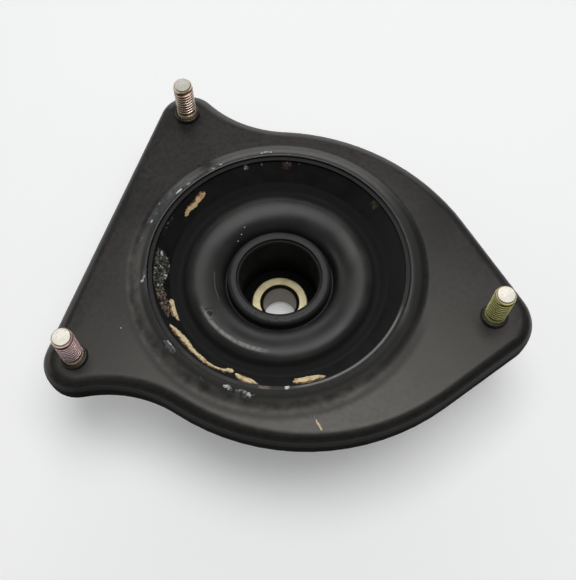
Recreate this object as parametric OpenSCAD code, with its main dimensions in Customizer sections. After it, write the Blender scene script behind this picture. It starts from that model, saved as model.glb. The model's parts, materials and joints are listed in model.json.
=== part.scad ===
// Top mount of a suspension strut: a pressed plate with three studs, a bonded rubber bush
// and a sealed ball bearing for the strut rod.
// The origin is on the bore axis in the plane of the balls, +Z points up out of the plate and
// +X points along the plate's axis towards the lone stud's lobe. All sizes are in millimetres.

/* [Plate] */
// Height of the plate's top face above the plane of the balls
plate_top = 39.5; // [38:0.5:44]
// Thickness of the pressed sheet
plate_t = 3; // [2.5:0.5:3.5]
// Height of the down-turned skirt, from the top face
skirt_h = 10; // [9:0.5:16]
// Outer radius of the bend between top face and skirt
bend_r = 5.5; // [5:0.25:5.75]
// Distance from the plate's axis to the waist on each side
waist = 67.5; // [67:0.5:72]
// Radius of the long side curves
side_r = 88.5; // [84:0.5:92]
// Distance along the axis from the stud circle's edge, at the lone stud, back to the middle of the side curves
side_x = 79.5; // [77.5:0.5:81.5]
// Radius of the hollow curves beside the paired lobes
hollow_r = 48; // [40:1:60]
// Radius of the lobes round the paired studs
pair_lobe_r = 12.5; // [12:0.5:14]
// Radius of the lobe round the lone stud
lone_lobe_r = 15.5; // [14:0.5:18]

/* [Rim] */
// Diameter of the plate's centre opening
opening_d = 100.8; // [98:0.2:102]
// Height of the raised rim above the top face
rim_h = 2.6; // [1.5:0.1:3.5]
// Width of the rim's sloping outside
rim_w = 7; // [5:0.5:8]
// Depth of the down-turned collar, from the top face
collar_h = 6; // [5:0.5:10]

/* [Studs] */
// Thread diameter
stud_d = 8; // [7:0.5:9]
// Height of the stud tips above the top face
stud_h = 19; // [14:0.5:30]
// Diameter of the circle that the studs stand on
stud_circle = 167; // [166:1:172]
// Angle of the paired studs, either way from the plate's axis
pair_angle = 136; // [134:0.5:137]
// Angle of the lone stud from the plate's axis
lone_angle = 3.5; // [0:0.5:4]
// Diameter of the stud's round head
stud_head_d = 12; // [11:0.5:12.5]
// Height of the stud's round head
stud_head_h = 2.5; // [2:0.5:4]
// Diameter of the collar formed in the plate round each stud
boss_d = 10.4; // [10:0.2:12.8]
// Height of the collar formed in the plate round each stud
boss_h = 1.75; // [1:0.25:2.5]

/* [Cup] */
// Thickness of the cup's wall
cup_t = 1.5; // [1.25:0.25:2.5]
// Depth of the cup below the plate's top face
cup_depth = 26; // [24:0.5:28]
// Width of the cup's flared mouth, from its edge in to its straight wall
flare_w = 6; // [5:0.25:6.5]
// Diameter of the hole in the cup's floor
cup_hole_d = 72; // [66:1:78]

/* [Rubber] */
// Diameter of the round ridge, over its crest
ridge_d = 65; // [64:0.5:67]
// Drop of the ridge's crest below the plate's top face
ridge_drop = 4.5; // [3.5:0.5:6]
// Radius of the ridge's section on its outer side
ridge_out_r = 6; // [5:0.25:7]
// Radius of the valley between the ridge and the cup's wall
valley_r = 1.8; // [1.2:0.1:2.6]
// Fall of the ridge's long inner slope, from the crest to the groove round the lip
slope_h = 8; // [6:0.5:10]
// Outside diameter of the lip round the neck
lip_d = 41.5; // [39:0.5:43]
// Drop of the lip below the plate's top face
lip_drop = 7.5; // [6:0.5:10]

/* [Sleeve] */
// Bore of the sleeve's neck
neck_d = 31.6; // [30:0.2:32.4]
// Wall of the sleeve's neck
neck_t = 1.6; // [1.2:0.1:1.8]
// Wall of the sleeve round the bearing
seat_t = 3.5; // [3:0.25:4.5]

/* [Bearing] */
// Bore of the inner ring, for the strut rod
bore_d = 14; // [12:0.5:14.5]
// Length of the inner ring
inner_l = 16; // [14.5:0.5:18]
// Outside diameter of the inner ring's shoulders
inner_d = 23.5; // [23:0.1:24]
// Outside diameter of the bearing
bearing_d = 42; // [41:0.5:44]
// Width of the bearing's outer ring
bearing_w = 13; // [12:0.5:14]
// Diameter of the circle of balls
pitch_d = 28.6; // [28.2:0.1:29]
// Diameter of a ball
ball_d = 7.94; // [7.5:0.02:8]
// Number of balls
ball_count = 8; // [6:1:8]

/* [Hidden] */
$fn = 96;
outline_steps = 12;
bend_steps = 6;
opening_r = opening_d / 2;
rim_out = opening_r + 0.8 + rim_w;
join_w = 1;

stud_angles = [lone_angle, pair_angle, -pair_angle];
stud_at = [for (a = stud_angles) stud_circle / 2 * [cos(a), sin(a)]];
side_mid = [stud_circle / 2 - side_x, waist - side_r];
knurl_r = stud_d / 2 + 0.4;
stud_chamfer = 0.11 * stud_d;

cup_r = opening_r;
mouth_in = cup_r - cup_t;
cup_top = rim_h - 0.9;
flare_top = cup_top - 1.2;
cup_in = mouth_in - flare_w;
cup_out = cup_in + cup_t;
flare_low = flare_top - flare_w;
cup_bend = cup_t + 1.5;
rubber_top = flare_low;
lip_r = lip_d / 2;
groove_r = 0.6;
lip_round = 2;
skirt_l = 7.5;

neck_in = neck_d / 2;
neck_out = neck_in + neck_t;
neck_top = -lip_drop - 1.1;
neck_break = 1;
lip_in = neck_in + 1.1;
seat_in = bearing_d / 2;
seat_out = seat_in + seat_t;
shoulder_t = 2.5;
shoulder_z = bearing_w / 2;
snap_t = 1.75;
snap_depth = 1.25;
sleeve_low = -bearing_w / 2 - 3;
sleeve_chamfer = 1;

race_gap = 0.1;
race_r = ball_d / 2 + race_gap;
pitch_r = pitch_d / 2;
inner_r = inner_d / 2;
land_rise = 2.55;
land_r = pitch_r + land_rise;
inner_top = bearing_w / 2 + 1;
inner_low = inner_top - inner_l;
neck_foot = inner_top + 0.7;
seal_t = 1.1;
seal_recess = 1.35;
seal_seat_r = land_r + 0.8;
seal_gap = 0.25;
cage_gap = 0.6;
cage_low = -bearing_w / 2 + seal_recess + 0.55;
cage_top = 0.45 * ball_d / 2;

black_coat = [0.13, 0.13, 0.13];
yellow_zinc = [0.76, 0.66, 0.42];
rubber_black = [0.09, 0.09, 0.09];
seal_black = [0.06, 0.06, 0.06];
bearing_steel = [0.78, 0.76, 0.70];
nylon = [0.86, 0.82, 0.70];
spring_steel = [0.25, 0.25, 0.26];

// Points of an arc about a centre, both ends included
function arc(c, r, a0, a1, n) =
    [for (i = [0:n]) let (a = a0 + (a1 - a0) * i / n) c + r * [cos(a), sin(a)]];

function angle_of(v) = atan2(v[1], v[0]);

// The same angle, moved by whole turns to lie at or above a floor
function above(a, floor_a) = a < floor_a ? above(a + 360, floor_a) : a;

function mirrored(pts) = [for (i = [len(pts) - 1:-1:0]) [pts[i][0], -pts[i][1]]];

// One side of the outline from the lone lobe to the paired lobe, moved inwards by d.
// A straight line joins the lone lobe to the side curve, and every other join is tangent.
function side_points(lone, d) =
    let (
        pair = [stud_at[1][0], stud_at[1][1]],
        mid = side_mid,
        to_lone = lone - mid,
        line_a = angle_of(to_lone) + acos((side_r - lone_lobe_r) / norm(to_lone)),
        span = pair - mid,
        far_r = side_r + hollow_r,
        near_r = pair_lobe_r + hollow_r,
        along = (span * span + far_r * far_r - near_r * near_r) / (2 * norm(span)),
        off = sqrt(far_r * far_r - along * along),
        u = span / norm(span),
        hollow = mid + u * along + [u[1], -u[0]] * off,
        side_end = above(angle_of(hollow - mid), line_a),
        hollow_a0 = angle_of(mid - hollow),
        hollow_a1 = above(angle_of(pair - hollow), hollow_a0 - 360),
        lobe_a0 = angle_of(hollow - pair)
    )
    concat(
        arc(mid, side_r - d, line_a, side_end, outline_steps + 4),
        [for (i = [1:outline_steps - 1])
            let (a = hollow_a0 + (hollow_a1 - hollow_a0) * i / outline_steps)
            hollow + (hollow_r + d) * [cos(a), sin(a)]],
        arc(pair, pair_lobe_r - d, lobe_a0, 180, outline_steps));

// Direction of the straight line's outward normal beside the lone lobe
function line_angle(lone) =
    let (v = lone - side_mid)
    angle_of(v) + acos((side_r - lone_lobe_r) / norm(v));

// The plate's outline, moved inwards by d, anticlockwise
function outline(d) =
    let (
        lone = stud_at[0],
        flipped = [lone[0], -lone[1]]
    )
    concat(
        arc(lone, lone_lobe_r - d, -line_angle(flipped), line_angle(lone), outline_steps + 4),
        side_points(lone, d),
        mirrored(side_points(flipped, d)));

// Section of the pressed sheet from the top face round the bend, down the skirt and back
// along the inside, as [inset, height]
function sheet_section() =
    let (inner_r = bend_r - plate_t)
    concat(
        [for (i = [0:bend_steps]) let (a = 90 * i / bend_steps)
            [bend_r * (1 - sin(a)), -bend_r * (1 - cos(a))]],
        [[0, -skirt_h], [plate_t, -skirt_h]],
        [for (i = [bend_steps - 2:-1:0]) let (a = 90 * i / (bend_steps - 2))
            [bend_r - inner_r * sin(a), -plate_t - inner_r * (1 - cos(a))]]);

// The pressed sheet with its skirt: the section carried round the outline, closed by flat faces
module pressed_sheet() {
    section = sheet_section();
    loops = [for (s = section) [for (p = outline(s[0])) [p[0], p[1], s[1]]]];
    n = len(loops[0]);
    m = len(section);
    points = concat([[0, 0, 0], [0, 0, -plate_t]], [for (l = loops) each l]);
    walls = [for (k = [0:m - 2]) for (i = [0:n - 1])
        let (a = 2 + k * n + i, b = 2 + k * n + (i + 1) % n)
        each [[a, b, a + n], [b, b + n, a + n]]];
    top = [for (i = [0:n - 1]) [0, 2 + (i + 1) % n, 2 + i]];
    under = [for (i = [0:n - 1]) [1, 2 + (m - 1) * n + i, 2 + (m - 1) * n + (i + 1) % n]];
    polyhedron(points, concat(walls, top, under), convexity = 8);
}

// Height of the raised rim at a radius
function rim_z(r) = rim_h * 0.5 * (1 + cos(180 * (r - opening_r - 0.8) / rim_w));

// The raised rim and the collar that is turned down inside it
module rim_and_collar() {
    collar_out = opening_r + plate_t;
    crest = opening_r + 0.8;
    slope = [for (i = [0:12]) crest + rim_w * i / 12];
    under = [for (i = [12:-1:0]) slope[i]];
    rotate_extrude()
        polygon(concat(
            arc([crest, rim_h - 0.8], 0.8, 180, 90, 5),
            [for (r = slope) if (r > crest) [r, rim_z(r)]],
            [[rim_out + join_w, 0], [rim_out + join_w, -plate_t]],
            [for (r = under) if (r > collar_out + 1) [r, rim_z(r) - plate_t]],
            [[collar_out, rim_z(collar_out + 1) - plate_t - 1], [collar_out, -collar_h],
             [opening_r, -collar_h]]));
}

module at_studs() {
    for (p = stud_at) translate([p[0], p[1], plate_top]) children();
}

module stud_boss() {
    rotate_extrude()
        polygon(concat(
            [[0, -plate_t / 2], [boss_d / 2, -plate_t / 2], [boss_d / 2, boss_h - 0.9]],
            arc([boss_d / 2 - 0.9, boss_h - 0.9], 0.9, 0, 90, 4),
            [[0, boss_h]]));
}

module mounting_plate() {
    color(black_coat)
        difference() {
            union() {
                translate([0, 0, plate_top]) {
                    difference() {
                        pressed_sheet();
                        translate([0, 0, -2 * plate_t]) cylinder(h = 4 * plate_t, r = rim_out);
                    }
                    rim_and_collar();
                }
                at_studs() stud_boss();
            }
            at_studs() translate([0, 0, -2 * plate_t])
                cylinder(h = 2 * plate_t + boss_h + 1, r = knurl_r);
        }
}

module mounting_studs() {
    r = stud_d / 2;
    color(yellow_zinc)
        at_studs()
            rotate_extrude()
                polygon([
                    [0, -plate_t - stud_head_h],
                    [stud_head_d / 2 - 0.5, -plate_t - stud_head_h],
                    [stud_head_d / 2, -plate_t - stud_head_h + 0.5],
                    [stud_head_d / 2, -plate_t],
                    [knurl_r, -plate_t],
                    [knurl_r, boss_h],
                    [r, boss_h + 0.4],
                    [r, stud_h - stud_chamfer],
                    [r - stud_chamfer, stud_h],
                    [0, stud_h]]);
}

// Pressed cup: a straight wall with a flared mouth above and a pierced floor below
module outer_cup() {
    low = -cup_depth;
    flare_back = flare_top - (mouth_in + cup_t * sqrt(2) - cup_r);
    color(black_coat)
        translate([0, 0, plate_top])
            rotate_extrude()
                polygon(concat(
                    [[mouth_in, cup_top], [mouth_in, flare_top], [cup_in, flare_low]],
                    arc([cup_out - cup_bend, low + cup_bend], cup_bend - cup_t, 0, -90, 3),
                    [[cup_hole_d / 2, low + cup_t], [cup_hole_d / 2, low]],
                    arc([cup_out - cup_bend, low + cup_bend], cup_bend, -90, 0, 4),
                    [[cup_out, flare_back - (cup_r - cup_out)], [cup_r, flare_back], [cup_r, cup_top]]));
}

// The rubber's upper face: it carries on the slope of the cup's flare into a valley, rises over
// the ridge, falls along the inner slope to a groove and ends at the lip round the neck. The
// valley's arc touches the slope and the ridge's arc.
function rubber_face() =
    let (
        crest_r = ridge_d / 2,
        mid = [crest_r, -ridge_drop - ridge_out_r],
        far = ridge_out_r + valley_r,
        lift = rubber_top - cup_in + mid[0] - mid[1] + valley_r * sqrt(2),
        out = (sqrt(2 * far * far - lift * lift) - lift) / 2,
        valley = mid + [out, out + lift],
        touch_a = atan2(out + lift, out),
        slope_w = crest_r - lip_r - 2 * groove_r,
        slope_low = -ridge_drop - slope_h
    )
    concat(
        [[cup_in, rubber_top]],
        arc(valley, valley_r, -45, touch_a - 180, 4),
        [for (i = [1:5]) mid + ridge_out_r * [cos(touch_a + (90 - touch_a) * i / 5),
                                              sin(touch_a + (90 - touch_a) * i / 5)]],
        [for (i = [1:7]) [crest_r - slope_w * sin(90 * i / 7), slope_low + slope_h * cos(90 * i / 7)]],
        [for (a = [-60, -120, -180]) [lip_r + groove_r, slope_low] + groove_r * [cos(a), sin(a)]],
        arc([lip_r - lip_round, -lip_drop - lip_round], lip_round, 0, 90, 3),
        [[lip_in + 0.5, -lip_drop], [lip_in, -lip_drop - 0.5], [lip_in, neck_top]]);

module rubber_bush() {
    low = -cup_depth;
    shoulder_top = shoulder_z + shoulder_t - plate_top;
    skirt_low = shoulder_top - skirt_l;
    belly_r = 5;
    hole_r = cup_hole_d / 2;
    color(rubber_black)
        translate([0, 0, plate_top])
            rotate_extrude()
                polygon(concat(
                    rubber_face(),
                    [[neck_out, neck_top], [neck_out, shoulder_top],
                     [seat_out - sleeve_chamfer, shoulder_top],
                     [seat_out, shoulder_top - sleeve_chamfer], [seat_out, skirt_low],
                     [seat_out + 1.5, skirt_low]],
                    arc([seat_out + 1.5 + belly_r, skirt_low + 1], belly_r, 180, 90, 4),
                    [[hole_r - 1, low - 0.6], [hole_r, low], [hole_r, low + cup_t]],
                    arc([cup_out - cup_bend, low + cup_bend], cup_bend - cup_t, -90, 0, 3)));
}

module bearing_sleeve() {
    color(black_coat)
        rotate_extrude()
            polygon([
                [neck_in + 0.4, plate_top + neck_top],
                [neck_in, plate_top + neck_top - 0.4],
                [neck_in, neck_foot],
                [neck_in + neck_break, shoulder_z],
                [seat_in, shoulder_z],
                [seat_in, -bearing_w / 2],
                [seat_in + snap_depth, -bearing_w / 2],
                [seat_in + snap_depth, -bearing_w / 2 - snap_t],
                [seat_in, -bearing_w / 2 - snap_t],
                [seat_in, sleeve_low + 0.5],
                [seat_in + 0.5, sleeve_low],
                [seat_out - 0.5, sleeve_low],
                [seat_out, sleeve_low + 0.5],
                [seat_out, shoulder_z + shoulder_t - sleeve_chamfer],
                [seat_out - sleeve_chamfer, shoulder_z + shoulder_t],
                [neck_out, shoulder_z + shoulder_t],
                [neck_out, plate_top + neck_top]]);
}

module ball_track() {
    rotate_extrude() translate([pitch_r, 0]) circle(r = race_r);
}

module bearing_outer_ring() {
    h = bearing_w / 2;
    color(bearing_steel)
        difference() {
            rotate_extrude()
                polygon([
                    [land_r, -h + seal_recess], [seal_seat_r, -h + seal_recess], [seal_seat_r, -h],
                    [seat_in - 0.6, -h], [seat_in, -h + 0.6], [seat_in, h - 0.6], [seat_in - 0.6, h],
                    [seal_seat_r, h], [seal_seat_r, h - seal_recess], [land_r, h - seal_recess]]);
            ball_track();
        }
}

// One seal, lying on the step of the outer ring's recess
module seal() {
    color(seal_black)
        translate([0, 0, bearing_w / 2 - seal_recess])
            difference() {
                cylinder(h = seal_t, r = seal_seat_r);
                translate([0, 0, -1]) cylinder(h = seal_t + 2, r = inner_r + seal_gap);
            }
}

module upper_seal() {
    seal();
}

module lower_seal() {
    mirror([0, 0, 1]) seal();
}

// Centres of the snap ring's ears, either side of its gap
module at_ears(r) {
    ear_a = 17;
    for (s = [-1, 1]) rotate(180 + s * ear_a) translate([r, 0]) children();
}

// Snap ring with two pierced ears beside its gap, seated in the sleeve's groove
module retaining_ring() {
    r = seat_in + snap_depth;
    band = 3.2;
    gap = 2 * r * [cos(12), sin(12)];
    color(spring_steel)
        translate([0, 0, -bearing_w / 2 - snap_t])
            linear_extrude(snap_t)
                difference() {
                    union() {
                        difference() {
                            circle(r = r);
                            circle(r = r - band);
                        }
                        at_ears(r - band) circle(r = 2.4, $fn = 32);
                    }
                    polygon([[0, 0], [-gap[0], gap[1]], [-gap[0], -gap[1]]]);
                    at_ears(r - band) circle(r = 1.1, $fn = 32);
                }
}

module bearing_inner_ring() {
    r = bore_d / 2;
    in = 1.4;
    out = 0.4;
    color(bearing_steel)
        difference() {
            rotate_extrude()
                polygon([
                    [r, inner_low + in], [r + in, inner_low],
                    [inner_r - out, inner_low], [inner_r, inner_low + out],
                    [inner_r, inner_top - out], [inner_r - out, inner_top],
                    [r + in, inner_top], [r, inner_top - in]]);
            ball_track();
        }
}

// Crown cage: a ring below the balls with fingers that reach past their middle
module ball_cage() {
    color(nylon)
        difference() {
            translate([0, 0, cage_low]) cylinder(h = cage_top - cage_low, r = land_r - cage_gap);
            translate([0, 0, cage_low - 1])
                cylinder(h = cage_top - cage_low + 2, r = inner_r + cage_gap);
            for (i = [1:ball_count]) ball_at(i) sphere(r = race_r);
        }
}

module ball_at(i) {
    rotate(360 * (i - 0.5) / ball_count) translate([pitch_r, 0, 0]) children();
}

module bearing_ball(i) {
    color(bearing_steel) ball_at(i) sphere(d = ball_d);
}

mounting_plate();
mounting_studs();
outer_cup();
rubber_bush();
bearing_sleeve();
bearing_outer_ring();
upper_seal();
lower_seal();
retaining_ring();
bearing_inner_ring();
ball_cage();
for (i = [1:ball_count])
    bearing_ball(i);
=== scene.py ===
# %% [markdown]
# The object is the top mount of a suspension strut: a black pressed plate with three studs, a
# rubber bush bonded into a flared cup, and a sealed ball bearing deep in the middle. The exact
# solids are loaded first and stay where they are. This lesson shades them smooth, turns the
# rubber and the threads finely, and lays the peeled flakes and scuffs of a used part on top.

# %% Load the solids
import json
import math

import bpy
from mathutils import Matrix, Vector, noise


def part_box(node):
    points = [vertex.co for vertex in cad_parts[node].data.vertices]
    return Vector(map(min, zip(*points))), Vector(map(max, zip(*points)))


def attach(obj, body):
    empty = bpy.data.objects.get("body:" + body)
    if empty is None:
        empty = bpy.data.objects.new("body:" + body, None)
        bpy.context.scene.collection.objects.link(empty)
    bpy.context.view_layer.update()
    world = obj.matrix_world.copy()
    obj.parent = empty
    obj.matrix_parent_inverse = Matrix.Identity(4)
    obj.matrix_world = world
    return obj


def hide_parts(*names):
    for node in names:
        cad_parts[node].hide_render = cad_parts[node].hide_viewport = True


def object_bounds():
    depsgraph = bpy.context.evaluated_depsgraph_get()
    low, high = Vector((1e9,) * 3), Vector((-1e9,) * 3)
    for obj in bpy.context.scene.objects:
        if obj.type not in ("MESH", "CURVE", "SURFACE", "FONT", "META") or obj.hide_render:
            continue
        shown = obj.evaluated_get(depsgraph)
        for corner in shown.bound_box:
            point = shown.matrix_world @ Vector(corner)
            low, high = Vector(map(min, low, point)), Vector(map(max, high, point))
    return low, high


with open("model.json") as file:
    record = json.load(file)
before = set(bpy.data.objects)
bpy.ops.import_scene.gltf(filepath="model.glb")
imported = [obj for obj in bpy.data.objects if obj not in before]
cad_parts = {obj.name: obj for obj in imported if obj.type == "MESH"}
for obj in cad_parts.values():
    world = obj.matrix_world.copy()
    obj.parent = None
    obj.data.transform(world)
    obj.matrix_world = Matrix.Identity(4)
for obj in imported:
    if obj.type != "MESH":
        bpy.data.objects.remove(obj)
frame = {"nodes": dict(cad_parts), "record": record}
nodes = frame["nodes"]
cad_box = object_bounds()
mm = 0.001

# %% [markdown]
# Some sizes are needed again and again: the height of the plate's top face, the studs' places
# and the height of their tips. They are read from the record and the solids, not typed twice.

# %% Sizes taken from the solids
mounts = {m["name"]: m for m in frame["record"]["mounts"]}
plate_top = mounts["tower_face"]["pos_m"][2]
plate_mm = plate_top / mm
stud_places = {n: Vector(m["pos_m"]) for n, m in mounts.items() if "stud" in n}
stud_foot, stud_tip = (corner.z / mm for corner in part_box("mounting_studs"))
cup_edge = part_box("outer_cup")[1].z / mm
neck_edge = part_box("bearing_sleeve")[1].z / mm
floor_z = cad_box[0][2]
print("plate top at", round(plate_mm, 2), "mm")


# %% [markdown]
# Materials are node trees. Two helpers keep them readable: one turns the colour codes that
# people write into the linear values that light needs, and one adds a node with its settings
# and links in a single call. Every pattern reads Object coordinates, which here are metres in
# the part's own frame, so a pattern's scale follows from a real size in millimetres.

# %% Helpers for materials
def linear(code):
    """A colour code such as c8b48a as linear red, green, blue and alpha."""
    parts = [int(code[i : i + 2], 16) / 255 for i in (0, 2, 4)]
    curve = [c / 12.92 if c <= 0.04045 else ((c + 0.055) / 1.055) ** 2.4 for c in parts]
    return (*curve, 1.0)


def add(tree, kind, sockets, out=None, **settings):
    """Adds a shader node with its settings, fills or links its sockets, and gives the output in use."""
    made = tree.nodes.new("ShaderNode" + kind)
    for name, value in settings.items():
        setattr(made, name, value)
    for socket, value in sockets.items():
        if isinstance(value, bpy.types.NodeSocket):
            tree.links.new(value, made.inputs[socket])
        else:
            made.inputs[socket].default_value = value
    return made.outputs[out] if out else next((o for o in made.outputs if o.enabled), None)


def start_material(name, constants=None):
    """A material with Object coordinates, an output and a shader that has these constants."""
    material = bpy.data.materials.new(name)
    material.use_nodes = True
    tree = material.node_tree
    tree.nodes.clear()
    place = add(tree, "TexCoord", {}, out="Object")
    surface = add(tree, "BsdfPrincipled", constants or {})
    add(tree, "OutputMaterial", {"Surface": surface})
    return material, tree, place


def per_mm(size):
    """The texture scale at which one feature is about this many millimetres wide."""
    return 1.0 / (size * mm)


print("one feature of 2 mm needs a scale of", per_mm(2))


# %% [markdown]
# Worn places sit at known angles round the bowl. A few nodes turn Object coordinates into the
# angle and the distance from the bore's axis. Arcs of angles come from a Color Ramp, and bands
# of distance or height from Map Range nodes. Masks that overlap are multiplied, so a mark stays
# where the real part has it.

# %% Masks by angle, distance and height
def angle_and_radius(tree, place):
    """The angle round the bore as 0 to 1 from +X, the distance from the axis and the height."""
    height = add(tree, "SeparateXYZ", {0: place}, out="Z")
    back = add(tree, "VectorMath", {0: place, 1: (-1, -1, -1)}, operation="MULTIPLY")
    turned = add(tree, "SeparateXYZ", {0: back}).node.outputs
    angle = add(tree, "Math", {0: turned["Y"], 1: turned["X"]}, operation="ARCTAN2")
    share = add(tree, "MapRange", {0: angle, 1: -math.pi, 2: math.pi})
    flat = add(tree, "VectorMath", {0: place, 1: (1, 1, 0)}, operation="MULTIPLY")
    far = add(tree, "VectorMath", {0: flat}, operation="LENGTH")
    return share, far, height


def overlap(tree, *masks):
    """White only where all the masks are. A plain number makes the result weaker."""
    result = masks[0]
    for mask in masks[1:]:
        result = add(tree, "Math", {0: result, 1: mask}, operation="MULTIPLY")
    return result


def band(tree, value, low, high, soft=0.6):
    """White between two lengths in millimetres. None leaves that side open."""
    sides = []
    if low is not None:
        sides.append({1: (low - soft) * mm, 2: low * mm, 3: 0.0, 4: 1.0})
    if high is not None:
        sides.append({1: high * mm, 2: (high + soft) * mm, 3: 1.0, 4: 0.0})
    smooth = {"interpolation_type": "SMOOTHSTEP"}
    masks = [add(tree, "MapRange", {0: value, **side}, **smooth) for side in sides]
    return overlap(tree, *masks)


def arcs_mask(tree, share, arcs, soft):
    """White inside each arc (from, to, strength), in degrees anticlockwise from +X."""
    ramp = add(tree, "ValToRGB", {0: share})
    stops = []
    for begin, end, strength in arcs:
        stops += [(begin - soft, 0.0), (begin, strength), (end, strength), (end + soft, 0.0)]
    stops = sorted((a / 360, s) for a, s in stops)
    ends = ramp.node.color_ramp.elements
    for end, (position, _) in zip(ends, (stops[0], stops[-1])):
        end.position = position
        end.color = (0, 0, 0, 1)
    for position, strength in stops[1:-1]:
        ends.new(position).color = (strength, strength, strength, 1)
    return ramp


def worn(tree, polar, arcs, ring, soft_angle=2.0, soft_mm=0.6):
    """White where arcs of angles cross a ring of distances."""
    share, far, _ = polar
    return overlap(tree, arcs_mask(tree, share, arcs, soft_angle), band(tree, far, *ring, soft_mm))


# %% [markdown]
# Nothing on a used part is one even colour. Noise gives two shades in patches of a real size,
# and it also tears a mask into ragged spots. Further coats are then laid over the colour, one
# Mix node each, as paint, dust and rust lie over each other on the part.

# %% Patches, torn masks and coats of colour
def painted(tree, colour, coats):
    """Lays coats (mask, colour) over a colour, in their order. A colour is a code or a link."""
    for mask, tone in coats:
        paint = linear(tone) if isinstance(tone, str) else tone
        colour = add(tree, "Mix", {0: mask, 6: colour, 7: paint}, data_type="RGBA")
    return colour


def torn(tree, place, size, detail, low, high, *masks):
    """Patches about this many millimetres wide, from noise between two levels, or masks torn by it."""
    patches = add(tree, "TexNoise", {"Vector": place, "Scale": per_mm(size), "Detail": detail})
    levels = {0: overlap(tree, patches, *masks), 1: low, 2: high}
    return add(tree, "MapRange", levels, interpolation_type="SMOOTHSTEP")


def mottled(tree, place, size, detail, codes, low, high, rough=None):
    """Two shades in patches of a size in millimetres. Gives the colour, the roughness and the noise."""
    patches = add(tree, "TexNoise", {"Vector": place, "Scale": per_mm(size), "Detail": detail})
    levels = {0: patches, 1: low, 2: high}
    share = add(tree, "MapRange", levels, interpolation_type="SMOOTHSTEP")
    if rough:
        rough = add(tree, "MapRange", {0: patches, 1: 0.3, 2: 0.7, 3: rough[0], 4: rough[1]})
    return painted(tree, linear(codes[0]), [(share, codes[1])]), rough, patches


def turning_lines(tree, far, spacing):
    """A wave over the distance from the axis, like the fine rings that a lathe leaves."""
    turns = add(tree, "Math", {0: far, 1: 2 * math.pi * per_mm(spacing)}, operation="MULTIPLY")
    return add(tree, "Math", {0: turns}, operation="SINE")


def finish_surface(tree, colour, rough, relief, depth, strength=0.15):
    """Links colour, roughness and a bump of this depth in mm. A relief (place, mm) is a fine grain."""
    if isinstance(relief, tuple):
        grain = {"Vector": relief[0], "Scale": per_mm(relief[1]), "Detail": 2.0}
        relief = add(tree, "TexNoise", grain)
    bump = {"Height": relief, "Strength": strength, "Distance": depth * mm}
    links = {"Base Color": colour, "Roughness": rough, "Normal": add(tree, "Bump", bump)}
    shader = tree.nodes["Principled BSDF"].inputs
    for socket, link in links.items():
        tree.links.new(link, shader[socket])


# %% [markdown]
# The solids arrive as loose triangles, so their bends show as flat strips. A copy of a solid
# can be merged and shaded smooth, and then stands in for it. Long triangles on a flat face
# would pick up the shading of the bend beside them. The Weighted Normal modifier prevents
# that, because it lets the largest face at each corner decide.

# %% Smooth copies of solids
merge_gap = 0.002 * mm
sharp_angle = math.radians(32)


def only(obj):
    """Leaves this object alone selected and active."""
    bpy.ops.object.select_all(action="DESELECT")
    obj.select_set(True)
    bpy.context.view_layer.objects.active = obj


def apply_all(obj):
    """Applies the object's modifiers in their order."""
    only(obj)
    for modifier in list(obj.modifiers):
        bpy.ops.object.modifier_apply(modifier=modifier.name)


def edit_all():
    """Enters edit mode with everything selected."""
    bpy.ops.object.mode_set(mode="EDIT")
    bpy.ops.mesh.select_all(action="SELECT")


def leave_edit():
    """Turns every face outwards and leaves edit mode."""
    bpy.ops.mesh.select_all(action="SELECT")
    bpy.ops.mesh.normals_make_consistent(inside=False)
    bpy.ops.object.mode_set(mode="OBJECT")


def copied(mesh, name):
    """A new object with its own copy of a mesh, without materials."""
    made = bpy.data.objects.new(name, mesh.copy())
    bpy.context.collection.objects.link(made)
    made.data.materials.clear()
    return made


def belongs(piece, body, node=None):
    """Says which body a piece moves with and which solid it stands for."""
    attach(piece, body)
    if node:
        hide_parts(node)


def smooth_copy(node, name, body):
    """The solid again as a piece, merged and shaded smooth, with its flats kept flat."""
    piece = copied(nodes[node].data, name)
    only(piece)
    bpy.ops.mesh.customdata_custom_splitnormals_clear()
    edit_all()
    bpy.ops.mesh.remove_doubles(threshold=merge_gap)
    bpy.ops.object.mode_set(mode="OBJECT")
    bpy.ops.object.shade_smooth_by_angle(angle=sharp_angle)
    even = piece.modifiers.new("even", "WEIGHTED_NORMAL")
    even.keep_sharp = True
    apply_all(piece)
    belongs(piece, body, node)
    print(name, "has", len(piece.data.polygons), "faces")
    return piece


plate = smooth_copy("mounting_plate", "pressed_plate", "housing")
cup = smooth_copy("outer_cup", "flared_cup", "housing")
sleeve = smooth_copy("bearing_sleeve", "neck_sleeve", "housing")
race = smooth_copy("bearing_inner_ring", "inner_race_ring", "inner_race")

# %% [markdown]
# The plate is deep-drawn sheet steel, dipped in a black electro-coat and stoved. That gives an
# even satin black with a very fine orange peel. Handling leaves a thin warm film of dust: two
# noises, one broad and one fine, are multiplied, so the film gathers in clouds of small spots.

# %% Satin black with a film of dust
warm = {"Specular Tint": linear("fffaf2")}
ecoat_plate, tree, place = start_material("electro_coated_pressed_steel", warm)
polar = angle_and_radius(tree, place)
_, far, height = polar
fine_spots = add(tree, "TexNoise", {"Vector": place, "Scale": per_mm(1.6), "Detail": 3.0})
broad_clouds = add(tree, "TexNoise", {"Vector": place, "Scale": per_mm(38), "Detail": 4.0})
film = overlap(tree, fine_spots, broad_clouds)
dusty = add(tree, "MapRange", {0: film, 1: 0.12, 2: 0.42}, interpolation_type="SMOOTHSTEP")
colour = painted(tree, linear("161616"), [(dusty, "232221")])
rough = add(tree, "MapRange", {0: film, 1: 0.1, 2: 0.45, 3: 0.30, 4: 0.42})
print("dust film on", plate.name)
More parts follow.
